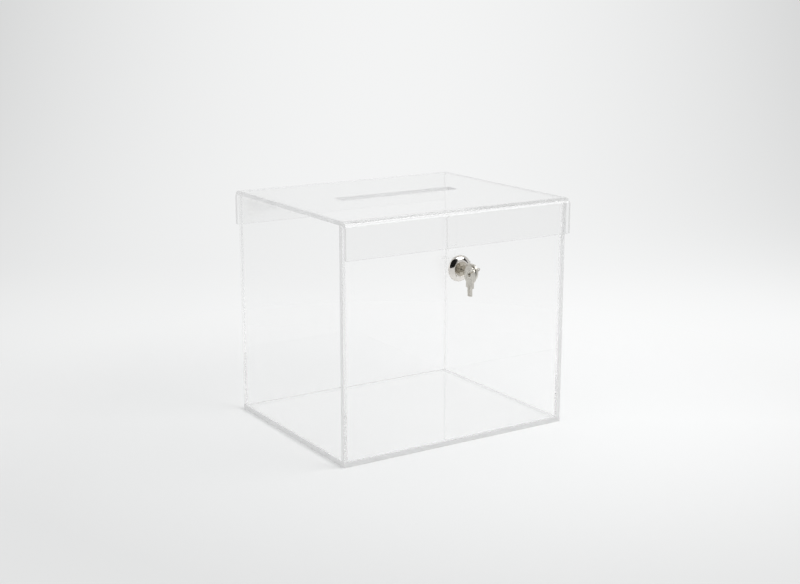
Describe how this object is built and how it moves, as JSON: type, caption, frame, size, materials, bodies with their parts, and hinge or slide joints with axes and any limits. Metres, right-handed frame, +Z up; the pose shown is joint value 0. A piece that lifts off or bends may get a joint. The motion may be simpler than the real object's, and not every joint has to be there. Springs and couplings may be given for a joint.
{
  "type": "donation box",
  "caption": "Clear sheet donation box with a slotted lift-off lid bent down at front and rear, a front cam lock and a spare key on a ring.",
  "frame": {"origin": "on the floor under the middle of the base plate", "axes": "+X right along the front, +Y from front to rear, +Z up"},
  "size_m": [0.25, 0.2434, 0.2275],
  "materials": {
    "clear_acrylic": "clear polished sheet with satin saw-cut edges",
    "polished_nickel": "polished nickel plate",
    "zinc_plated_steel": "bright zinc plate",
    "brass": "plain stamped",
    "spring_steel": "bright wire"
  },
  "bodies": {
    "box": {"base_plate": "clear_acrylic", "front_panel": "clear_acrylic", "rear_panel": "clear_acrylic", "left_panel": "clear_acrylic", "right_panel": "clear_acrylic", "lock_housing": "polished_nickel", "lock_washer": "zinc_plated_steel", "lock_nut": "polished_nickel"},
    "lid": {"lid": "clear_acrylic", "lid_catch": "clear_acrylic"},
    "lock_core": {"lock_plug": "polished_nickel", "plug_wafers": "brass", "wafer_springs": "spring_steel", "stop_washer": "zinc_plated_steel", "cam": "zinc_plated_steel", "cam_washer": "zinc_plated_steel", "cam_screw": "zinc_plated_steel"},
    "key": {"key": "polished_nickel"},
    "key_ring": {"key_ring": "polished_nickel"},
    "spare_key": {"spare_key": "polished_nickel"}
  },
  "joints": [
    {"name": "lid_lift", "type": "slide", "parent": "box", "child": "lid", "axis": [0, 0, 1], "range_m": [0, 0.06]},
    {"name": "lock_turn", "type": "hinge", "parent": "box", "child": "lock_core", "pos_m": [0, -0.103, 0.1718], "axis": [0, -1, 0], "range_deg": [0, 90]},
    {"name": "key_pull", "type": "slide", "parent": "lock_core", "child": "key", "axis": [0, -1, 0], "range_m": [0, 0.015]},
    {"name": "ring_swing", "type": "hinge", "parent": "key", "child": "key_ring", "pos_m": [0, -0.1238, 0.1706], "axis": [1, 0, 0], "range_deg": [-20, 20]},
    {"name": "spare_key_swing", "type": "hinge", "parent": "key_ring", "child": "spare_key", "pos_m": [-0.0023, -0.1238, 0.1706], "axis": [1, 0, 0], "range_deg": [-40, 15]}
  ]
}
